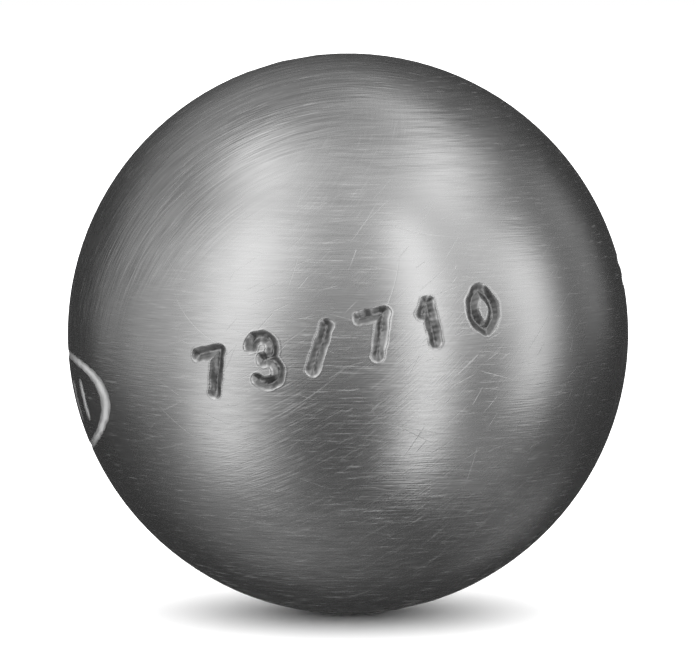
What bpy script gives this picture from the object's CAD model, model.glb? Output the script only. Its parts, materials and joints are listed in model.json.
import json
import math

import bpy
import numpy as np
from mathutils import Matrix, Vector


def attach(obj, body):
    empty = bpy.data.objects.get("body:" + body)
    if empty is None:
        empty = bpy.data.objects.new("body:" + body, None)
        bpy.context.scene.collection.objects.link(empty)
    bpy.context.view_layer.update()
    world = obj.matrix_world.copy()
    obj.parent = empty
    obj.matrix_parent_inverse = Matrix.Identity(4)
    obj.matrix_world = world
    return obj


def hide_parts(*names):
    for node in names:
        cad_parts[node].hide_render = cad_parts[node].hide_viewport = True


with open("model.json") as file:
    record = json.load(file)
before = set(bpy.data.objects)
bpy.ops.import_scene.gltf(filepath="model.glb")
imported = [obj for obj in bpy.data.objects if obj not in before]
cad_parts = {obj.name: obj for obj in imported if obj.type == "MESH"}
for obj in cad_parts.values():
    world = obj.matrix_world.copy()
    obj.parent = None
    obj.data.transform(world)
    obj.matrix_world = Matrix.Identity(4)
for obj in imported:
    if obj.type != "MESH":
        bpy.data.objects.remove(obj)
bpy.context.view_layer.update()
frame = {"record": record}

# A petanque boule: a hollow steel ball of two half-shells and two weld runs, ground to one smooth
# surface, brushed, and struck with plain figures. Lengths are in millimetres and angles in degrees
# unless a name says otherwise. The origin is the ball's centre, +Z is up, and -Y is the side with
# the row of figures.

MM = 0.001

record = frame["record"]

# The ball and its weld, as in the solids
BALL_RADIUS = record["mounts"][0]["dims"]["r_mm"]
MASS_STEP = 10  # grams
MARKED_MASS = round(record["physics"]["mass_kg"] * 1000 / MASS_STEP) * MASS_STEP
WALL = 6.5
ROOT_GAP = 1.0
ROOT_FACE = 1.5
BEVEL_ANGLE = 30.0
ROOT_RUN_THICKNESS = 3.2
ROOT_BEAD_RADIUS = 1.7
ROOT_BEAD_STAND = 0.7
ROOT_RIPPLES = 90  # round the inside of the weld
ROOT_RIPPLE_HEIGHT = 0.1

# The belt that the marks follow, and the marks, as in the solids
ROW_ELEVATION = 3.4
BELT_SLOPE = 13.0
SEAM_AZIMUTH = 55.0
STROKE_WIDTH = 1.8
STROKE_DEPTH = 0.6
SHALLOW_DEPTH = 0.1
FIGURE_WIDTH = 3.0
FIGURE_HEIGHT = 5.0
FIGURE_PITCH = 7.2
OVAL_AZIMUTH = -88.0
OVAL_DROP = 0.4
OVAL_LENGTH = 33.3
OVAL_HEIGHT = 12.3
OVAL_END_WIDTH = 2.7
OVAL_SIDE_WIDTH = 1.1
OVAL_BARS = 5
OVAL_BAR_PITCH = 4.8
TALLY_AZIMUTH = 86.5
TALLY_BARS = 2
TALLY_BAR_PITCH = 2.6
BAR_LENGTH = 4.0

# How a struck groove is shaped
FLOOR_ROUNDING = 0.12  # of its floor, in half-widths
SHOULDER_EASE = 0.07  # as a share of the depth
LIP_HEIGHT = 0.05  # of the steel that the blow pushed up, as a share of the depth
LIP_PLACE = 0.07  # beyond the groove's edge
LIP_WIDTH = 0.10
EDGE_WOBBLE = 0.08  # of the edge, in half-widths
EDGE_WOBBLE_SIZE = 2.3
DEPTH_WOBBLE = 0.12  # of the depth, as a share
DEPTH_WOBBLE_SIZE = 3.1
FLOOR_RIPPLE = 0.04  # as a share of the depth
FLOOR_RIPPLE_PITCH = 0.7
GROOVE_REACH = 2.5  # in half-widths, beyond which the ball is plain
SLOPE_STEP = 0.02  # over which the slope of a groove is measured
NEAR_SIDE = 0.5  # cosine of the angle from a mark's middle, beyond which the mark isn't drawn
POLE_GUARD = 0.05  # least cosine of a latitude, so that a step to the east stays short
OVAL_GUARD = 0.01  # least level in the oval, so that its middle has a direction

# How finely the surfaces are divided
FINE = 0.14
OVAL_FINE = 0.18
COARSE = 2.0
WIDENING = 0.15  # growth of the spacing with the distance from a mark
GRADING_SAMPLES = 20001  # places at which the spacing is summed up
INSIDE_COLUMNS = 24
CAP_COLUMNS = 10
BEAD_COLUMNS = 10

# Each figure's strokes in half-widths and half-heights, as in the solids: two points for a straight
# stroke, three for an arc
SIX = [
    ((0.6, 1.0), (-0.8, 0.25), (-0.9, -0.45)),
    ((-0.9, -0.45), (0.0, -1.0), (0.95, -0.45)),
    ((0.95, -0.45), (0.0, 0.1), (-0.9, -0.45)),
]
FIGURES = {
    "/": [((1.0, 1.0), (-1.0, -1.0))],
    "0": [((0.0, 1.0), (-1.0, 0.0), (0.0, -1.0)), ((0.0, -1.0), (1.0, 0.0), (0.0, 1.0))],
    "1": [((-0.6, 0.5), (0.0, 1.0)), ((0.0, 1.0), (0.0, -1.0))],
    "2": [
        ((-0.9, 0.5), (0.2, 1.0), (0.9, 0.4)),
        ((0.9, 0.4), (-1.0, -1.0)),
        ((-1.0, -1.0), (1.0, -1.0)),
    ],
    "3": [((-0.9, 0.85), (0.9, 0.5), (-0.1, 0.05)), ((-0.1, 0.05), (1.0, -0.5), (-0.9, -0.85))],
    "4": [((0.2, 1.0), (-1.0, -0.3)), ((-1.0, -0.3), (1.0, -0.3)), ((0.35, 0.25), (0.35, -1.0))],
    "5": [
        ((0.8, 1.0), (-0.7, 1.0)),
        ((-0.7, 1.0), (-0.8, 0.15)),
        ((-0.8, 0.15), (1.0, -0.35), (-0.8, -0.95)),
    ],
    "6": SIX,
    "7": [((-1.0, 1.0), (1.0, 1.0)), ((1.0, 1.0), (-0.3, -1.0))],
    "8": [
        ((0.0, 0.05), (-0.8, 0.52), (0.0, 1.0)),
        ((0.0, 1.0), (0.8, 0.52), (0.0, 0.05)),
        ((0.0, 0.05), (-1.0, -0.48), (0.0, -1.0)),
        ((0.0, -1.0), (1.0, -0.48), (0.0, 0.05)),
    ],
    "9": [tuple((-x, -y) for x, y in stroke) for stroke in SIX],
}

# The brushed lines: length and width of the fine, the middling and the broad ones, and the axes that
# the steel was brushed about, each leaving lines that circle it
LINE_SIZES = ((3.2, 0.16), (6.0, 0.28), (11.0, 0.7))
LEVEL_AXIS = (0.0, 0.0, 1.0)
LEANING_AXIS = (-0.52, -0.47, 0.71)
RINGED_AXIS = (0.08, -0.98, -0.17)
# Towards these the ringed lines take over, the leaning ones fade out, and the leaning ones show most
RINGED_SIDE = (-0.75, 0.0, 1.0)
UNCROSSED_SIDE = (1.0, 0.0, 0.35)
CROSSED_SIDE = (-0.03, -0.93, -0.36)
# How much the lines stand out: everywhere, and what is added towards a direction. Each zone has its
# direction, the cosines of the angles where it begins and is full, and what it adds.
LINES_EVERYWHERE = 1.3
LINE_ZONES = {
    "calm_front": ((-0.06, -0.89, 0.45), 0.80, 0.97, -0.45),
    "calm_left_band": ((-0.36, -0.85, 0.37), 0.92, 0.98, -0.25),
    "calm_right_band": ((0.23, -0.88, 0.41), 0.96, 0.99, -0.50),
    "between_bands": ((-0.03, -0.92, 0.40), 0.97, 0.99, 0.4),
    "below_row": ((-0.05, -0.96, -0.27), 0.86, 0.97, 0.7),
    "calm_right": ((1.0, 0.0, 0.0), 0.50, 0.80, -0.25),
    "calm_upper_right": ((0.45, -0.60, 0.66), 0.85, 0.97, -0.3),
    "crown": ((0.04, -0.50, 0.86), 0.85, 0.97, 0.4),
    "underside": ((0.15, -0.25, -0.96), 0.55, 0.85, 1.5),
}
# Sets of scratches: the spacing of the places where one may lie, its width, the share of those places
# that hold one, and the shift of the pattern. They are strongest towards one direction.
SCRATCHES = (
    (3.0, 0.06, 0.45, 20.0),
    (5.0, 0.07, 0.5, 45.0),
    (7.5, 0.07, 0.7, 70.0),
    (12.0, 0.08, 0.8, 95.0),
)
SCRATCHED_SIDE = (0.05, -0.95, -0.30)

# Greys of the finishes, from 0 to 1
POLISHED_DARK, POLISHED_LIGHT = 0.45, 0.70
GROOVE_DARK, GROOVE_LIGHT = 0.20, 0.32
FROSTED_DARK, FROSTED_LIGHT = 0.55, 0.85
FROSTED_WHITE = 0.02  # share of the frosting that isn't metal
PALEST_WHITE = 0.20  # added to that share where the frosting is palest
# How rough the polished steel is, and what each thing adds to that
POLISHED_ROUGHNESS = 0.27
HAZE_ROUGHNESS = 0.02
HAIRLINE_ROUGHNESS = 0.25
SCRATCH_ROUGHNESS = 0.25
GROOVE_ROUGHNESS = 0.03
FROSTED_ROUGHNESS = 0.22
# Sizes of the slow patches, of the haze and of the mottling in the grooves, and what stands up
PATCH_SIZE = 16.0
HAZE_SIZE = 9.0
MOTTLE_SIZE = 0.3
LINE_HEIGHT = 0.0145
SCRATCH_DEPTH = 0.010
HAZE_HEIGHT = 0.004
MOTTLE_HEIGHT = 0.008

# The photo's frame in pixels, and the camera
IMAGE_WIDTH, IMAGE_HEIGHT = 697, 662
BALL_MIDDLE_PX = (348.0, 333.5)
BALL_RADIUS_PX = 280.4
CAMERA_ELEVATION = 5.0
CAMERA_DISTANCE = 700.0
SENSOR_WIDTH = 36.0

# What the steel mirrors: soft panels in a dark tent, seen from the ball. Each has its middle's
# azimuth (0 towards the camera, + to the right) and elevation, its roll, its half-width,
# half-height and soft edge, and its brightness.
PANELS = {
    "left_key": (-44, 17, -5, 16, 29, 15, 1.00),
    "left_low": (-57, -31, -18, 13, 18, 15, 1.02),
    "left_top": (-75, 62, -2, 17, 9, 12, 0.92),
    "left_side": (-84, 9, 0, 20, 26, 12, 0.27),
    "left_rear": (-115, 14, 0, 7, 20, 6, 0.22),
    "right_strip": (32, -5, 5, 9.5, 52, 9, 1.22),
    "right_top": (76, 59, 3, 17, 9, 12, 0.64),
    "right_side": (81, 3, 0, 9, 26, 11, 1.06),
    "right_middle": (61, 32, 0, 11, 27, 14, 0.42),
    "right_rear": (121, 17, 0, 10, 17, 8, 0.21),
    "low_left": (-80, -42, 0, 20, 14, 15, 0.14),
    "low_right": (72, -46, 0, 24, 12, 18, 0.24),
    "low_rear": (137, -38, 0, 12, 10, 9, 0.16),
    "under": (-95, -72, 0, 26, 20, 22, 0.18),
    "rear_left": (-145, 42, 0, 22, 10, 15, 0.24),
    "rear_top": (135, 70, 0, 18, 7, 9, 0.42),
}
TENT_DARK = 0.045
TENT_SIDES = 0.045  # added everywhere but behind the ball
TENT_TOP = 0.22  # added overhead
TENT_FRONT = 0.40  # added high on the camera's side
TENT_RADIUS = 2000.0
STAGE_STEPS = 96  # round the tent and the floor
TENT_ROWS = 48
FLOOR_RADIUS = 3000.0
FLOOR_COLOUR = 0.95
FLOOR_LIGHT = 2.4  # of the surround, on the floor and on what isn't metal in the frosting

hollow_radius = BALL_RADIUS - WALL
land_radius = hollow_radius + ROOT_FACE
bevel_slope = math.tan(math.radians(BEVEL_ANGLE))


def bevel_meets(radius):
    """Where the rim's bevel meets a sphere: distance from the seam's axis, and along that axis.

    The bevel is the line along = gap / 2 + (out - land) * slope, put into out^2 + along^2 = radius^2.
    """
    start = ROOT_GAP / 2 - land_radius * bevel_slope
    square = 1 + bevel_slope**2
    root = math.sqrt(square * radius**2 - start**2)
    out = (root - bevel_slope * start) / square
    return out, start + bevel_slope * out


rim_out, rim_along = bevel_meets(BALL_RADIUS)

# The belt's frame: facing the row's middle, to its right along the belt, and the belt's pole
row_rise, belt_lean = math.radians(ROW_ELEVATION), math.radians(BELT_SLOPE)
facing = np.array([0.0, -math.cos(row_rise), math.sin(row_rise)])
upward = np.array([0.0, math.sin(row_rise), math.cos(row_rise)])
pole = upward * math.cos(belt_lean) - np.array([1.0, 0.0, 0.0]) * math.sin(belt_lean)
rightward = np.cross(pole, facing)


def belt_direction(azimuth, latitude):
    """Unit vectors: cos(latitude) (cos(azimuth) facing + sin(azimuth) right) + sin(latitude) pole."""
    level = np.cos(latitude)
    return (
        (level * np.cos(azimuth))[..., None] * facing
        + (level * np.sin(azimuth))[..., None] * rightward
        + np.sin(latitude)[..., None] * pole
    )


def unit(vectors):
    """The vectors at length one."""
    return vectors / np.linalg.norm(vectors, axis=-1, keepdims=True)


def graded(low, high, zones):
    """Places from low to high, close together in each zone and wider apart away from it.

    A zone is its start, end and spacing. The places are equal steps of the sum of 1 / spacing.
    """
    scale = np.linspace(low, high, GRADING_SAMPLES)
    spacing = np.full_like(scale, COARSE)
    for start, end, step in zones:
        outside = np.maximum(np.maximum(start - scale, scale - end), 0)
        spacing = np.minimum(spacing, step + WIDENING * outside)
    closeness = (1 / spacing[1:] + 1 / spacing[:-1]) / 2 * np.diff(scale)
    summed = np.concatenate([[0.0], np.cumsum(closeness)])
    steps = math.ceil(summed[-1])
    return np.interp(np.linspace(0, summed[-1], steps + 1), summed, scale)


# Struck marks. A flat place on a mark is one complex number, across + 1j * up.


def stroke_distance(place, stroke):
    """Distance from flat places to a stroke: a straight line, or the arc through three points."""
    start, end = stroke[0], stroke[-1]
    if len(stroke) == 2:
        run = end - start
        share = np.clip(((place - start) * np.conj(run)).real / abs(run) ** 2, 0, 1)
        return np.abs(place - start - share * run)
    ratio = (end - start) / (stroke[1] - start)
    centre = start - (start - stroke[1]) * (ratio - abs(ratio) ** 2) / (2j * ratio.imag)

    def turned(point, hand):
        return np.mod(hand * np.angle((point - centre) / (start - centre)), 2 * math.pi)

    hand = 1 if turned(stroke[1], 1) < turned(end, 1) else -1
    ring = np.abs(np.abs(place - centre) - abs(start - centre))
    ends = np.minimum(np.abs(place - start), np.abs(place - end))
    return np.where(turned(place, hand) <= turned(end, hand), ring, ends)


def figure_share(place, figure):
    """Distance to a figure's nearest stroke, in half-widths of the stroke."""
    strokes = []
    for stroke in FIGURES[figure]:
        strokes.append([x * FIGURE_WIDTH / 2 + 1j * y * FIGURE_HEIGHT / 2 for x, y in stroke])
    nearest = np.min([stroke_distance(place, stroke) for stroke in strokes], axis=0)
    return nearest / (STROKE_WIDTH / 2)


def bars_share(place, count, pitch):
    """Distance to the nearest of some upright bars side by side, in half-widths of the stroke."""
    bars = []
    for number in range(count):
        across = (number - (count - 1) / 2) * pitch
        bars.append(stroke_distance(place, [across - 0.5j * BAR_LENGTH, across + 0.5j * BAR_LENGTH]))
    return np.min(bars, axis=0) / (STROKE_WIDTH / 2)


def tally_share(place, count):
    """Distance to the nearest level bar of the tally, in half-widths of the stroke."""
    return bars_share(place * 1j, count, TALLY_BAR_PITCH)


def oval_share(place, bars):
    """Distance to the oval's line or the bars inside it, in half-widths of each.

    The oval's distance is how far its equation misses 1, divided by half its stroke's width as a share
    of its size: that share changes from the ends to the sides with the squared cosine of the direction.
    """
    place = place + 1j * OVAL_DROP
    along, above = place.real / (OVAL_LENGTH / 2), place.imag / (OVAL_HEIGHT / 2)
    level = np.maximum(np.hypot(along, above), OVAL_GUARD)
    end = (along / level) ** 2
    half_stroke = end * OVAL_END_WIDTH / OVAL_LENGTH + (1 - end) * OVAL_SIDE_WIDTH / OVAL_HEIGHT
    ring = np.abs(level - 1) / half_stroke
    return np.minimum(ring, bars_share(place, bars, OVAL_BAR_PITCH))


def struck_marks():
    """Every mark: its azimuth on the belt, its depth, its share function, and what that draws."""
    text = f"{2 * BALL_RADIUS:.0f}/{MARKED_MASS}"
    pitch = math.degrees(FIGURE_PITCH / BALL_RADIUS)
    marks = [
        (OVAL_AZIMUTH, SHALLOW_DEPTH, oval_share, OVAL_BARS),
        (TALLY_AZIMUTH, SHALLOW_DEPTH, tally_share, TALLY_BARS),
    ]
    for number, figure in enumerate(text):
        marks.append(((number - (len(text) - 1) / 2) * pitch, STROKE_DEPTH, figure_share, figure))
    return marks


MARKS = struck_marks()


def unevenness(place, size, shift):
    """Slow waves from about -1 to 1: three sines, each a little shorter and turned 70 degrees more."""
    waves = np.zeros(place.shape)
    for number in range(3):
        heading = np.exp(1j * math.radians(70 * number + 20 + 15 * shift))
        waves += np.sin((place * heading).real * 2 * math.pi / size * (1 + 0.23 * number) + shift + number)
    return waves / 2


def groove_height(share, place):
    """Height of a struck groove over the ball, and its fall, both as a share of the full depth.

    A V with a rounded floor, eased into the ball at its shoulder: fall = a - sqrt(s^2 + r^2),
    eased = (fall + sqrt(fall^2 + ease^2)) / 2. Beyond the edge a bell-shaped lip stands up.
    """
    share = share + EDGE_WOBBLE * unevenness(place, EDGE_WOBBLE_SIZE, 1.0)
    top = math.sqrt(1 + FLOOR_ROUNDING**2)
    fall = (top - np.sqrt(share**2 + FLOOR_ROUNDING**2)) / (top - FLOOR_ROUNDING)
    fall = fall * (1 + DEPTH_WOBBLE * unevenness(place, DEPTH_WOBBLE_SIZE, 2.0))
    eased = (fall + np.sqrt(fall**2 + SHOULDER_EASE**2)) / 2
    beyond = (share - 1) * STROKE_WIDTH / 2
    lip = LIP_HEIGHT * np.exp(-(((beyond - LIP_PLACE) / LIP_WIDTH) ** 2))
    inside = np.clip(eased, 0, 1)
    ripple = FLOOR_RIPPLE * inside * np.sin(place.imag * 2 * math.pi / FLOOR_RIPPLE_PITCH)
    reach = np.clip(GROOVE_REACH - share, 0, 1)
    return (lip + ripple - eased) * reach, inside * reach


def marked_surface(azimuth, latitude):
    """Height of the ball's surface over the plain ball, and how deep in a groove it is.

    That depth goes from 0 to 1 in a struck figure, and from 0 to -1 in a shallow mark.
    """
    height = np.zeros(np.shape(azimuth))
    depth = np.zeros(np.shape(azimuth))
    for middle, full_depth, share, drawing in MARKS:
        away = azimuth - math.radians(middle)
        place = BALL_RADIUS * (np.cos(latitude) * np.sin(away) + 1j * np.sin(latitude))
        mark_height, mark_depth = groove_height(share(place, drawing), place)
        near = np.cos(away) > NEAR_SIDE
        height += near * mark_height * full_depth
        depth += near * mark_depth * (1 if full_depth == STROKE_DEPTH else -1)
    return height, depth


def marked_normals(azimuth, latitude):
    """Normals of the marked ball: radius less the slopes of the height to the east and to the north."""
    step = SLOPE_STEP / BALL_RADIUS
    east_step = step / np.maximum(np.cos(latitude), POLE_GUARD)

    def height(east_shift, north_shift):
        return marked_surface(azimuth + east_shift, latitude + north_shift)[0]

    east = height(east_step, 0) - height(-east_step, 0)
    north = height(0, step) - height(0, -step)
    eastward = belt_direction(azimuth + math.pi / 2, np.zeros_like(latitude))
    northward = belt_direction(azimuth, latitude + math.pi / 2)
    slopes = (east[..., None] * eastward + north[..., None] * northward) / (2 * SLOPE_STEP)
    return unit(belt_direction(azimuth, latitude) - slopes)


# Meshes


class Skin:
    """A piece's surface in the making: its points, its faces, and the normal at each face corner."""

    def __init__(self):
        self.points = []
        self.depths = []
        self.faces = []
        self.normals = []
        self.finishes = []
        self.count = 0

    def add_points(self, points, depths=None):
        """Adds points in any array shape and returns their numbers in the same shape."""
        shape = points.shape[:-1]
        number = math.prod(shape)
        self.points.append(points.reshape(-1, 3))
        self.depths.append(np.zeros(number) if depths is None else depths.reshape(-1))
        self.count += number
        return np.arange(self.count - number, self.count).reshape(shape)

    def add_faces(self, corners, normals, finish=0):
        """Adds faces from an array of corner numbers, with a normal for each corner."""
        self.faces.extend(corners.tolist())
        self.normals.append(normals.reshape(-1, 3))
        self.finishes.extend([finish] * len(corners))

    def make(self, name, node, materials):
        """Makes the mesh object, in metres, and tells the frame which solid it stands for."""
        mesh = bpy.data.meshes.new(name)
        mesh.from_pydata((np.concatenate(self.points) * MM).tolist(), [], self.faces)
        mesh.polygons.foreach_set("use_smooth", np.ones(len(mesh.polygons), dtype=bool))
        mesh.polygons.foreach_set("material_index", np.array(self.finishes, dtype=np.int32))
        depth = mesh.attributes.new("groove_depth", "FLOAT", "POINT")
        depth.data.foreach_set("value", np.concatenate(self.depths).astype(np.float32))
        mesh.normals_split_custom_set(np.concatenate(self.normals).tolist())
        for material in materials:
            mesh.materials.append(material)
        piece = bpy.data.objects.new(name, mesh)
        bpy.context.collection.objects.link(piece)
        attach(piece, "root")
        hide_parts(node)
        return piece


def add_lens(skin, numbers, normals, facing_in, finish=0):
    """Covers a grid whose first and last rows are single points: triangles there, quads between.

    Corners run one way round on the outside of the ball, and the other way round in its hollow.
    """
    corners = {}
    for letter, (down, across) in {"a": (0, 0), "b": (0, 1), "c": (1, 1), "d": (1, 0)}.items():
        rows = slice(down, len(numbers) - 1 + down)
        columns = slice(across, numbers.shape[1] - 1 + across)
        corners[letter] = numbers[rows, columns], normals[rows, columns]
    for letters, part in (("acd", slice(0, 1)), ("abcd", slice(1, -1)), ("abd", slice(-1, None))):
        order = letters if facing_in else letters[::-1]
        corner_numbers = np.stack([corners[letter][0][part] for letter in order], axis=-1)
        corner_normals = np.stack([corners[letter][1][part] for letter in order], axis=-2)
        skin.add_faces(corner_numbers.reshape(-1, len(order)), corner_normals, finish)


def add_band(skin, loops, normals, finish=0):
    """Joins closed loops of points in turn with quads, with one normal row for each loop's side.

    Normals are one array for each pair of loops: the normals along the first and the second.
    """
    for (first, second), (first_normals, second_normals) in zip(zip(loops, loops[1:]), normals):
        corners = [first, np.roll(first, -1), np.roll(second, -1), second]
        ahead = np.roll(first_normals, -1, 0), np.roll(second_normals, -1, 0)
        corner_normals = [first_normals, *ahead, second_normals]
        skin.add_faces(np.stack(corners, axis=-1), np.stack(corner_normals, axis=1), finish)


def row_latitudes():
    """Latitudes of the rows of points, fine across the marks, between the seam's two crossings."""
    reach = BALL_RADIUS * math.asin(rim_out / BALL_RADIUS)
    figures = FIGURE_HEIGHT / 2 + STROKE_WIDTH
    oval = OVAL_HEIGHT / 2 + OVAL_SIDE_WIDTH + OVAL_DROP
    places = graded(-reach, reach, [(-figures, figures, FINE), (-oval, oval, OVAL_FINE)])
    return places[::-1] / BALL_RADIUS


LATITUDES = row_latitudes()
# Angle of each row round the seam, from the belt's pole
RIM_ANGLES = np.arccos(np.clip(np.sin(LATITUDES) * BALL_RADIUS / rim_out, -1, 1))
# The same all the way round: down one side and up the other
LOOP_ANGLES = np.concatenate([RIM_ANGLES, -RIM_ANGLES[-2:0:-1]])


def seam_frame(side):
    """A half-shell's axis, the belt direction a quarter turn to its right, and its azimuth in radians."""
    azimuth = math.radians(SEAM_AZIMUTH - 90 * side)
    axis = belt_direction(np.array(azimuth), np.array(0.0))
    along_rim = belt_direction(np.array(azimuth + math.pi / 2), np.array(0.0))
    return axis, along_rim, azimuth


def ring(out, along, side):
    """Points round the seam's axis at a distance out from it and a distance along it.

    Angle 0 points to the belt's pole, and +90 degrees along the belt.
    """
    axis, along_rim, _ = seam_frame(side)
    turned = np.cos(LOOP_ANGLES)[:, None] * pole + np.sin(LOOP_ANGLES)[:, None] * along_rim
    return np.asarray(out)[..., None] * turned + along * axis


def dome_angles(radius, edge_along, azimuth, shares):
    """Azimuths and latitudes of a dome's grid: rows follow the rim's angle, columns spread between rims.

    A row's latitude is asin(edge / radius cos(angle)), and its half-width acos(along / (radius cos(lat))).
    """
    edge_out = math.sqrt(radius**2 - edge_along**2)
    latitude = np.arcsin(edge_out / radius * np.cos(RIM_ANGLES))
    half_width = np.arccos(np.clip(edge_along / (radius * np.cos(latitude)), -1, 1))
    return azimuth + half_width[:, None] * shares, np.repeat(latitude[:, None], len(shares), axis=1)


def grid_numbers(skin, points, depths=None, rim=None):
    """Adds a dome's points, with one point for each end row, and returns the grid of their numbers.

    With a rim, the grid's two ends and its outer columns are that loop's points instead.
    """
    rows, columns = points.shape[:2]
    numbers = np.empty((rows, columns), dtype=int)
    if rim is None:
        numbers[1:-1] = skin.add_points(points[1:-1], None if depths is None else depths[1:-1])
        numbers[0] = skin.add_points(points[0, :1])
        numbers[-1] = skin.add_points(points[-1, :1])
        return numbers
    numbers[1:-1, 1:-1] = skin.add_points(points[1:-1, 1:-1])
    numbers[0], numbers[-1] = rim[0], rim[rows - 1]
    numbers[1:-1, -1] = rim[1 : rows - 1]
    numbers[1:-1, 0] = rim[:rows - 1:-1]
    return numbers


def rim_loop(numbers):
    """The numbers round a dome grid's rim: first point, right side down, last point, left side up."""
    return np.concatenate([numbers[:-1, -1], numbers[-1:, 0], numbers[-2:0:-1, 0]])


def half_shell(name, node, side, zones, materials):
    """One half-shell: the struck dome, its bevelled rim and land, and the plain hollow inside."""
    skin = Skin()
    _, _, azimuth = seam_frame(side)
    reach = BALL_RADIUS * math.acos(rim_along / BALL_RADIUS)
    middle = BALL_RADIUS * azimuth
    columns = graded(-reach, reach, [(start - middle, end - middle, step) for start, end, step in zones])
    azimuths, latitudes = dome_angles(BALL_RADIUS, rim_along, azimuth, columns / reach)
    height, depth = marked_surface(azimuths, latitudes)
    points = (BALL_RADIUS + height)[..., None] * belt_direction(azimuths, latitudes)
    outside = grid_numbers(skin, points, depth)
    add_lens(skin, outside, marked_normals(azimuths, latitudes), facing_in=False)

    inner_out = math.sqrt(hollow_radius**2 - (ROOT_GAP / 2) ** 2)
    land_top = skin.add_points(ring(land_radius, ROOT_GAP / 2, side))
    land_foot = skin.add_points(ring(inner_out, ROOT_GAP / 2, side))
    flat = ring(0.0, -1.0, side) + np.zeros((len(LOOP_ANGLES), 1))
    sloped = unit(ring(bevel_slope, -1.0, side))
    loops = [rim_loop(outside), land_top, land_foot]
    add_band(skin, loops, [(sloped, sloped), (flat, flat)], finish=1)

    shares = np.linspace(-1, 1, INSIDE_COLUMNS + 1)
    azimuths, latitudes = dome_angles(hollow_radius, ROOT_GAP / 2, azimuth, shares)
    directions = belt_direction(azimuths, latitudes)
    inside = grid_numbers(skin, hollow_radius * directions, rim=land_foot)
    add_lens(skin, inside, -directions, facing_in=True, finish=1)
    return skin.make(name, node, materials)


def weld_ring(name, node, section, materials, finishes):
    """A weld run: a closed section carried round the seam.

    The section is a list of sides, each side a list of places and normals as (out, along, normal out,
    normal along), and each side starts where the last one ended.
    """
    skin = Skin()
    first_loop = previous = None
    for number, (side, finish) in enumerate(zip(section, finishes)):
        loops, normals = [], []
        for place, (out, along, normal_out, normal_along) in enumerate(side):
            closing = number == len(section) - 1 and place == len(side) - 1
            if closing:
                loop = first_loop
            elif place == 0 and previous is not None:
                loop = previous
            else:
                loop = skin.add_points(ring(out, along, 1))
            if first_loop is None:
                first_loop = loop
            loops.append(loop)
            normals.append(unit(ring(normal_out, normal_along, 1)))
        add_band(skin, loops, list(zip(normals, normals[1:])), finish)
        previous = loops[-1]
    return skin.make(name, node, materials)


def arc_side(radius, start, end, steps, outward=1.0):
    """A side of a section on a sphere about the ball's centre: out = sqrt(radius^2 - along^2)."""
    side = []
    for along in np.linspace(start, end, steps + 1):
        out = math.sqrt(radius**2 - along**2)
        side.append((out, along, outward * out / radius, outward * along / radius))
    return side


def straight_side(start, end):
    """A straight side of a section. Its normal is the run, turned a quarter turn from out to along."""
    run_out, run_along = end[0] - start[0], end[1] - start[1]
    length = math.hypot(run_out, run_along)
    normal = (-run_along / length, run_out / length)
    return [(*start, *normal), (*end, *normal)]


def bead_side(reach):
    """The bead inside the weld, rippled round the ring: an arc of its own radius between two edges."""
    middle = hollow_radius - ROOT_BEAD_STAND + ROOT_BEAD_RADIUS
    side = []
    for along in np.linspace(-reach, reach, BEAD_COLUMNS + 1):
        inward = math.sqrt(ROOT_BEAD_RADIUS**2 - along**2)
        swell = max(0.0, 1 - (along / reach) ** 2)
        ripple = ROOT_RIPPLE_HEIGHT * swell * np.sin(LOOP_ANGLES * ROOT_RIPPLES)
        side.append((middle - inward + ripple, along, -inward, along))
    return side


def cap_weld(materials):
    """The cap run: a band of the ball's surface, two bevels, and a floor on the root run."""
    floor_radius = hollow_radius + ROOT_RUN_THICKNESS
    floor_out, floor_along = bevel_meets(floor_radius)
    section = [
        arc_side(BALL_RADIUS, rim_along, -rim_along, CAP_COLUMNS),
        straight_side((rim_out, -rim_along), (floor_out, -floor_along)),
        arc_side(floor_radius, -floor_along, floor_along, CAP_COLUMNS, outward=-1.0),
        straight_side((floor_out, floor_along), (rim_out, rim_along)),
    ]
    return weld_ring("cap_weld", "weld_cap_run", section, materials, [0, 1, 1, 1])


def root_weld(materials):
    """The root run: from the cap run's floor down the bevels and lands to the bead in the hollow."""
    top_radius = hollow_radius + ROOT_RUN_THICKNESS
    top_out, top_along = bevel_meets(top_radius)
    gap = ROOT_GAP / 2
    foot_out = math.sqrt(hollow_radius**2 - gap**2)
    bead_middle = hollow_radius - ROOT_BEAD_STAND + ROOT_BEAD_RADIUS
    bead_out = (hollow_radius**2 + bead_middle**2 - ROOT_BEAD_RADIUS**2) / (2 * bead_middle)
    bead_reach = math.sqrt(hollow_radius**2 - bead_out**2)
    section = [
        arc_side(top_radius, top_along, -top_along, CAP_COLUMNS),
        straight_side((top_out, -top_along), (land_radius, -gap)),
        straight_side((land_radius, -gap), (foot_out, -gap)),
        arc_side(hollow_radius, -gap, -bead_reach, 2),
        bead_side(bead_reach),
        arc_side(hollow_radius, bead_reach, gap, 2),
        straight_side((foot_out, gap), (land_radius, gap)),
        straight_side((land_radius, gap), (top_out, top_along)),
    ]
    return weld_ring("root_weld", "weld_root_run", section, materials, [0] * len(section))


# Shader maths


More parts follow.
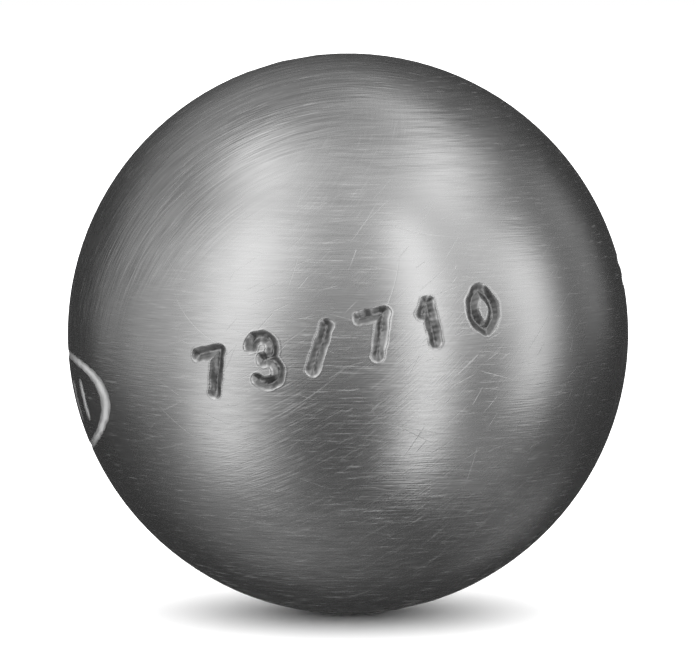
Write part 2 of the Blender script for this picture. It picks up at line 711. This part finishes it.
class Value:
    """A number that varies over a surface: one output, with arithmetic that adds Math nodes."""

    def __init__(self, tree, socket):
        self.tree = tree
        self.socket = socket

    def math(self, operation, *others):
        """A Math node on this number and any others."""
        return self.tree.value("ShaderNodeMath", {"operation": operation}, dict(enumerate([self, *others])))

    def __add__(self, other):
        return self.math("ADD", other)

    def __sub__(self, other):
        return self.math("SUBTRACT", other)

    def __rsub__(self, other):
        return self.tree.value("ShaderNodeMath", {"operation": "SUBTRACT"}, {0: other, 1: self})

    def __mul__(self, other):
        return self.math("MULTIPLY", other)

    def __abs__(self):
        return self.math("ABSOLUTE")

    __radd__ = __add__
    __rmul__ = __mul__

    def ramp(self, low, high, start=0.0, end=1.0):
        """A smooth change from start to end while this number goes from low to high."""
        settings = {"interpolation_type": "SMOOTHSTEP"}
        return self.tree.value(
            "ShaderNodeMapRange", settings, {0: self, 1: low, 2: high, 3: start, 4: end}
        )


class Tree:
    """A shader's nodes, made one at a time."""

    def __init__(self, owner):
        owner.use_nodes = True
        self.nodes = owner.node_tree.nodes
        self.links = owner.node_tree.links
        self.nodes.clear()

    def node(self, kind, settings=None, sockets=None):
        """Makes a node: its settings first, then each input by name or number, as a value or a link."""
        made = self.nodes.new(kind)
        for name, setting in (settings or {}).items():
            setattr(made, name, setting)
        for key, given in (sockets or {}).items():
            if isinstance(given, Value):
                self.links.new(given.socket, made.inputs[key])
            elif isinstance(given, bpy.types.NodeSocket):
                self.links.new(given, made.inputs[key])
            else:
                made.inputs[key].default_value = given
        return made

    def value(self, kind, settings=None, sockets=None, output=0):
        """Makes a node and returns one of its outputs as a number for arithmetic."""
        return Value(self, self.node(kind, settings, sockets).outputs[output])

    def vector(self, operation, *others):
        """Makes a Vector Math node and returns its vector."""
        made = self.node("ShaderNodeVectorMath", {"operation": operation}, dict(enumerate(others)))
        return made.outputs[0]

    def dot(self, first, second):
        """The dot product of two vectors as a number."""
        settings = {"operation": "DOT_PRODUCT"}
        return self.value("ShaderNodeVectorMath", settings, {0: first, 1: second}, "Value")

    def length(self, vector):
        """The length of a vector as a number."""
        return self.value("ShaderNodeVectorMath", {"operation": "LENGTH"}, {0: vector}, "Value")

    def blend(self, share, first, second):
        """A colour between two others."""
        settings = {"data_type": "RGBA"}
        return self.node("ShaderNodeMix", settings, {0: share, 6: first, 7: second}).outputs[2]

    def noise(self, place, sizes, axis=(0.0, 0.0, 1.0), shift=0.0, detail=2.0):
        """Noise from about -1 to 1 whose grains have the given sizes across, across and along an axis."""
        turn = Vector(axis).to_track_quat("Z", "Y").to_euler()
        mapped = self.node(
            "ShaderNodeMapping",
            {"vector_type": "TEXTURE"},
            {
                "Vector": place,
                "Location": (shift * MM, shift * MM, shift * MM),
                "Rotation": turn,
                "Scale": tuple(size * MM for size in sizes),
            },
        )
        sockets = {"Vector": mapped.outputs[0], "Scale": 1.0, "Detail": detail, "Roughness": 0.6}
        return (self.value("ShaderNodeTexNoise", None, sockets) - 0.5) * 2.0


def new_material(name):
    """A material with an empty shader."""
    material = bpy.data.materials.new(name)
    return material, Tree(material)


def finish_surface(tree, shader):
    """Sends a shader to the material's surface."""
    tree.node("ShaderNodeOutputMaterial", None, {"Surface": shader.outputs[0]})


def finish_metal(tree, colour, roughness, relief, metallic=1.0):
    """Ends a material with a metal shader, whose relief is in millimetres."""
    bump = tree.node("ShaderNodeBump", None, {"Strength": 1.0, "Distance": MM, "Height": relief})
    sockets = {
        "Base Color": colour,
        "Metallic": metallic,
        "Roughness": roughness,
        "Normal": bump.outputs[0],
    }
    finish_surface(tree, tree.node("ShaderNodeBsdfPrincipled", None, sockets))


def grey(level):
    """A grey as a colour."""
    return (level, level, level, 1.0)


# Steel


def brushed_lines(tree, place, axis, shift, coarseness):
    """Fine lines that circle an axis, as a brushing wheel leaves them: long dashes of three widths.

    Returns their height from about -1 to 1, and the few hairlines that stand out, from 0 to 1.
    """
    dashes = []
    for number, (length, width) in enumerate(LINE_SIZES):
        dashes.append(tree.noise(place, (length, length, width), axis, shift + 40.0 * number, detail=1.0))
    fine, middling, broad = dashes
    return fine * 0.6 + middling * coarseness + broad * coarseness * 0.8, fine.ramp(0.2, 0.6)


def line_strength(tree, outward):
    """How much the brushed lines stand out in each direction from the ball's middle."""
    strength = LINES_EVERYWHERE
    for direction, begin, full, added in LINE_ZONES.values():
        strength = tree.dot(outward, direction).ramp(begin, full) * added + strength
    return strength


def scratches(tree, place, spacing, width, share, shift):
    """Thin straight scratches: each cell of a scatter holds one line at a random turn, or none.

    The line is where a plane through the cell's middle cuts the ball, and it fades towards its ends.
    Most of them run roughly with the leaning lines.
    """
    moved = tree.vector("ADD", place, (shift * MM, shift * MM, shift * MM))
    cell = tree.node("ShaderNodeTexVoronoi", None, {"Vector": moved, "Scale": 1 / (spacing * MM)})
    colour, middle = cell.outputs["Color"], cell.outputs["Position"]
    away = tree.vector("SUBTRACT", moved, middle)
    outward = tree.vector("NORMALIZE", place)
    brushed = tree.vector("CROSS_PRODUCT", tuple(0.5 * part for part in LEANING_AXIS), outward)
    heading = tree.vector("ADD", tree.vector("SUBTRACT", colour, (0.5, 0.5, 0.5)), brushed)
    side = tree.vector("NORMALIZE", tree.vector("CROSS_PRODUCT", outward, heading))
    off_line = abs(tree.dot(away, side))
    along = tree.length(tree.vector("CROSS_PRODUCT", outward, away))
    chosen = tree.dot(colour, (1.0, 0.0, 0.0)).ramp(1 - share, 1.2 - share, 0.0, 0.8)
    thin = off_line.ramp(width * MM, 0.0)
    return chosen * thin * along.ramp(spacing * MM * 0.6, spacing * MM * 0.1)


def crossing_lines(tree, place, outward):
    """The three sets of brushed lines, each where it shows most: their height, and their hairlines.

    Level lines cover most of the ball, leaning ones cross them below the row, and ringed ones take
    over at the upper left. Slow patches shift the balance between the first two.
    """
    coarseness = tree.dot(outward, (0.0, 0.0, 1.0)).ramp(0.2, 0.8, 0.25, 0.9)
    level_lines, level_hairs = brushed_lines(tree, place, LEVEL_AXIS, 0.0, coarseness)
    leaning_lines, leaning_hairs = brushed_lines(tree, place, LEANING_AXIS, 90.0, 0.05)
    ringed_lines, ringed_hairs = brushed_lines(tree, place, RINGED_AXIS, 180.0, 0.9)
    patches = tree.noise(place, (PATCH_SIZE,) * 3, shift=300.0, detail=1.0)
    ringed_share = (tree.dot(outward, RINGED_SIDE) + patches * 0.12).ramp(0.62, 0.85)
    level_share = (patches + 0.30).ramp(-0.4, 0.4, 0.35, 1.0) * (1.0 - ringed_share)
    leaning_share = patches.ramp(0.4, -0.4, 0.35, 1.0) * (1.0 - ringed_share * 0.7)
    leaning_share = leaning_share * tree.dot(outward, UNCROSSED_SIDE).ramp(0.75, 0.45)
    leaning_share = leaning_share * tree.dot(outward, CROSSED_SIDE).ramp(0.88, 0.98, 0.5, 0.8)
    strength = line_strength(tree, outward)
    lines = level_lines * level_share + leaning_lines * leaning_share + ringed_lines * ringed_share
    hairs = level_hairs * level_share + leaning_hairs * leaning_share + ringed_hairs * ringed_share
    return lines * strength, hairs * strength * 0.6


def all_scratches(tree, place, outward):
    """Every set of scratches, strongest towards the scratched side and faint elsewhere."""
    scratched, *others = [scratches(tree, place, *sizes) for sizes in SCRATCHES]
    for other in others:
        scratched = scratched.math("MAXIMUM", other)
    return scratched * tree.dot(outward, SCRATCHED_SIDE).ramp(0.5, 0.9, 0.15, 1.0)


def shell_steel():
    """Ground and brushed steel: crossing lines, scratches, haze, dull grooves and frosted shallow marks.

    The frosting is palest in the middle of its strokes, at the oval's two ends and on the tally.
    """
    material, tree = new_material("brushed_shell_steel")
    place = tree.node("ShaderNodeTexCoord").outputs["Object"]
    depth = tree.value("ShaderNodeAttribute", {"attribute_name": "groove_depth"}, None, "Fac")
    outward = tree.vector("NORMALIZE", place)
    lines, hairs = crossing_lines(tree, place, outward)
    scratched = all_scratches(tree, place, outward)
    haze = tree.noise(place, (HAZE_SIZE,) * 3, shift=500.0)
    mottle = tree.noise(place, (MOTTLE_SIZE,) * 3, shift=700.0, detail=3.0)

    sunk = depth.ramp(0.08, 0.4)
    frosted = depth.ramp(-0.05, -0.3)
    bare = 1.0 - sunk - frosted
    towards_ends = abs(tree.dot(outward, tuple(facing))).ramp(0.1, 0.42, 0.15, 1.0)
    on_tally = tree.dot(outward, tuple(rightward)).ramp(0.0, 0.5)
    whitened = frosted * depth.ramp(-0.3, -1.0, 0.3, 1.0) * towards_ends.math("MAXIMUM", on_tally)

    shine = lines * 0.5 + hairs * 0.4 + scratched * 0.7 + 0.38
    polished = tree.blend(shine, grey(POLISHED_DARK), grey(POLISHED_LIGHT))
    dulled = tree.blend(mottle + 0.5, grey(GROOVE_DARK), grey(GROOVE_LIGHT))
    pale = tree.blend(whitened, grey(FROSTED_DARK), grey(FROSTED_LIGHT))
    colour = tree.blend(frosted, tree.blend(sunk, polished, dulled), pale)
    worn = (hairs * HAIRLINE_ROUGHNESS + scratched * SCRATCH_ROUGHNESS) * bare
    marked = sunk * GROOVE_ROUGHNESS + frosted * FROSTED_ROUGHNESS
    roughness = POLISHED_ROUGHNESS + haze * HAZE_ROUGHNESS + worn + marked
    brushed = (lines * LINE_HEIGHT - scratched * SCRATCH_DEPTH) * bare
    relief = brushed + haze * HAZE_HEIGHT + mottle * sunk * MOTTLE_HEIGHT
    metallic = 1.0 - whitened * PALEST_WHITE - frosted * FROSTED_WHITE
    finish_metal(tree, colour, roughness, relief, metallic)
    return material


def raw_steel():
    """Pressed and machined steel inside the ball: dull, with a faint scale and turning lines."""
    material, tree = new_material("raw_pressed_steel")
    place = tree.node("ShaderNodeTexCoord").outputs["Object"]
    scale = tree.noise(place, (3.0, 3.0, 3.0), shift=900.0)
    lines = tree.noise(place, (8.0, 8.0, 0.4), tuple(seam_frame(1)[0]), 950.0)
    colour = tree.blend(scale * 0.5 + 0.5, (0.22, 0.21, 0.20, 1.0), (0.36, 0.35, 0.34, 1.0))
    finish_metal(tree, colour, 0.5 + scale * 0.08, scale * 0.02 + lines * 0.006)
    return material


def weld_steel():
    """Weld metal as it was left: dull, with warm and dark heat tints and a fine grain."""
    material, tree = new_material("dull_weld_steel")
    place = tree.node("ShaderNodeTexCoord").outputs["Object"]
    tint = tree.noise(place, (5.0, 5.0, 5.0), shift=1100.0)
    grain = tree.noise(place, (0.5, 0.5, 0.5), shift=1200.0)
    colour = tree.blend(tint * 0.5 + 0.5, (0.30, 0.29, 0.29, 1.0), (0.42, 0.38, 0.34, 1.0))
    finish_metal(tree, colour, 0.48 + grain * 0.08, grain * 0.02)
    return material


# Studio


camera_rise = math.radians(CAMERA_ELEVATION)
towards_camera = np.array([0.0, -math.cos(camera_rise), math.sin(camera_rise)])
camera_up = np.array([0.0, math.sin(camera_rise), math.cos(camera_rise)])
camera_right = np.array([1.0, 0.0, 0.0])


def place_camera():
    """Stands the camera so that the ball's middle and rim fall where the photo has them.

    The focal length in pixels is the rim's radius in pixels over the tangent of its angle.
    """
    reach = math.sqrt(CAMERA_DISTANCE**2 - BALL_RADIUS**2)
    focal_px = BALL_RADIUS_PX * reach / BALL_RADIUS
    camera = bpy.data.cameras.new("camera")
    camera.sensor_width = SENSOR_WIDTH
    camera.lens = focal_px * SENSOR_WIDTH / IMAGE_WIDTH
    right_px = IMAGE_WIDTH / 2 - BALL_MIDDLE_PX[0]
    up_px = BALL_MIDDLE_PX[1] - IMAGE_HEIGHT / 2
    aim = (camera_right * right_px + camera_up * up_px) * CAMERA_DISTANCE / focal_px
    stand = bpy.data.objects.new("camera", camera)
    stand.location = Vector(towards_camera * CAMERA_DISTANCE * MM)
    stand.rotation_mode = "QUATERNION"
    stand.rotation_quaternion = Vector(aim - towards_camera * CAMERA_DISTANCE).to_track_quat("-Z", "Y")
    bpy.context.collection.objects.link(stand)
    bpy.context.scene.camera = stand


def turned_surface(name, profile, steps, material):
    """A stage surface of revolution about Z: a profile of (radius, height) carried round in steps."""
    angles = np.linspace(0, 2 * math.pi, steps, endpoint=False)
    profile = np.asarray(profile)
    circle = np.stack([np.cos(angles), np.sin(angles)], axis=-1)
    points = np.empty((len(profile), steps, 3))
    points[..., :2] = profile[:, None, :1] * circle[None]
    points[..., 2] = profile[:, 1:]
    numbers = np.arange(len(profile) * steps).reshape(len(profile), steps)
    ahead = np.roll(numbers, -1, axis=1)
    faces = np.stack([numbers[:-1], ahead[:-1], ahead[1:], numbers[1:]], axis=-1).reshape(-1, 4)
    mesh = bpy.data.meshes.new(name)
    mesh.from_pydata((points.reshape(-1, 3) * MM).tolist(), [], faces.tolist())
    mesh.materials.append(material)
    stage = bpy.data.objects.new(name, mesh)
    bpy.context.collection.objects.link(stage)
    return stage


def panel_axes(azimuth, elevation, roll):
    """A panel's directions across, along and to its middle, as seen from the ball by the camera's axes."""
    turn, rise, tilt = math.radians(azimuth), math.radians(elevation), math.radians(roll)
    level = camera_right * math.sin(turn) + towards_camera * math.cos(turn)
    middle = level * math.cos(rise) + camera_up * math.sin(rise)
    right = camera_right * math.cos(turn) - towards_camera * math.sin(turn)
    up = np.cross(middle, right)
    across = right * math.cos(tilt) + up * math.sin(tilt)
    along = up * math.cos(tilt) - right * math.sin(tilt)
    return across, along, middle


def tent_light():
    """The tent's inside: nearly dark, paler overhead and in front, with the soft-edged PANELS.

    It is dark to the rays that light the floor, so that the shadow under the ball stays deep.
    """
    material, tree = new_material("tent_light")
    outward = tree.vector("NORMALIZE", tree.node("ShaderNodeTexCoord").outputs["Object"])
    degree = math.degrees(1)
    elevation = tree.dot(outward, tuple(camera_up)).math("ARCSINE") * degree
    front = tree.dot(outward, tuple(towards_camera))
    light = front.ramp(-0.9, -0.3) * TENT_SIDES + elevation.ramp(10.0, 85.0) * TENT_TOP + TENT_DARK
    light = light + elevation.ramp(-55.0, 38.0) * front.ramp(-0.5, 0.6) * TENT_FRONT
    for azimuth, height, roll, half_width, half_height, edge, brightness in PANELS.values():
        axes = panel_axes(azimuth, height, roll)
        across, along, middle = [tree.dot(outward, tuple(axis)) for axis in axes]
        beside = abs(across.math("ARCTAN2", middle) * degree)
        above = abs(along.math("ARCSINE") * degree)
        within_width = beside.ramp(half_width + edge, half_width - edge)
        within_height = above.ramp(half_height + edge, half_height - edge)
        light = light + within_width * within_height * brightness
    from_floor = tree.value("ShaderNodeLightPath", output="Diffuse Depth").math("MINIMUM", 1.0)
    sockets = {"Color": light * (1.0 - from_floor), "Strength": 1.0}
    finish_surface(tree, tree.node("ShaderNodeEmission", None, sockets))
    material.cycles.emission_sampling = "NONE"
    return material


def light_tent():
    """A dark tent with soft panels all round the ball, which only the steel's reflections see."""
    turns = np.radians(np.linspace(-90, 90, TENT_ROWS + 1))
    profile = [(TENT_RADIUS * math.cos(turn), TENT_RADIUS * math.sin(turn)) for turn in turns]
    tent = turned_surface("light_tent", profile, STAGE_STEPS, tent_light())
    tent.visible_camera = False
    tent.visible_diffuse = False
    tent.visible_transmission = False
    tent.visible_shadow = False


def pale_floor():
    """A plain pale floor that the ball stands on and shades. The steel sees the tent in its place."""
    material, tree = new_material("pale_floor")
    finish_surface(tree, tree.node("ShaderNodeBsdfDiffuse", None, {"Color": grey(FLOOR_COLOUR)}))
    profile = [(0.0, -BALL_RADIUS), (FLOOR_RADIUS, -BALL_RADIUS)]
    floor = turned_surface("pale_floor", profile, STAGE_STEPS, material)
    floor.visible_glossy = False


def white_world():
    """A plain white surround, brighter to diffuse rays, so that the floor is white too.

    The share of the frosting that isn't metal gets that brighter light as well.
    """
    world = bpy.data.worlds.new("white_surround")
    tree = Tree(world)
    diffuse = tree.value("ShaderNodeLightPath", output="Is Diffuse Ray")
    strength = 1.0 + diffuse * (FLOOR_LIGHT - 1.0)
    background = tree.node("ShaderNodeBackground", None, {"Color": grey(1.0), "Strength": strength})
    tree.node("ShaderNodeOutputWorld", None, {"Surface": background.outputs[0]})
    world.cycles.sampling_method = "NONE"
    bpy.context.scene.world = world


def arc_zone(azimuth, half_length, spacing):
    """A zone of fine columns along the belt, in millimetres of arc, about a mark's middle."""
    middle = BALL_RADIUS * math.radians(azimuth)
    return middle - half_length, middle + half_length, spacing


def build_ball():
    """The four pieces of the ball with their finishes."""
    steel, raw, weld = shell_steel(), raw_steel(), weld_steel()
    row_end = max(azimuth for azimuth, depth, _, _ in MARKS if depth == STROKE_DEPTH)
    row_half = BALL_RADIUS * math.radians(row_end) + FIGURE_WIDTH / 2 + STROKE_WIDTH
    oval_half = OVAL_LENGTH / 2 + OVAL_END_WIDTH
    tally_half = BAR_LENGTH / 2 + STROKE_WIDTH
    front_zones = [arc_zone(0.0, row_half, FINE), arc_zone(OVAL_AZIMUTH, oval_half, OVAL_FINE)]
    rear_zones = [arc_zone(TALLY_AZIMUTH, tally_half, FINE)]
    half_shell("front_shell", "front_half_shell", 1, front_zones, [steel, raw])
    half_shell("rear_shell", "rear_half_shell", -1, rear_zones, [steel, raw])
    cap_weld([steel, weld])
    root_weld([weld])


build_ball()
place_camera()
light_tent()
pale_floor()
white_world()
bpy.context.scene.view_settings.view_transform = "Standard"
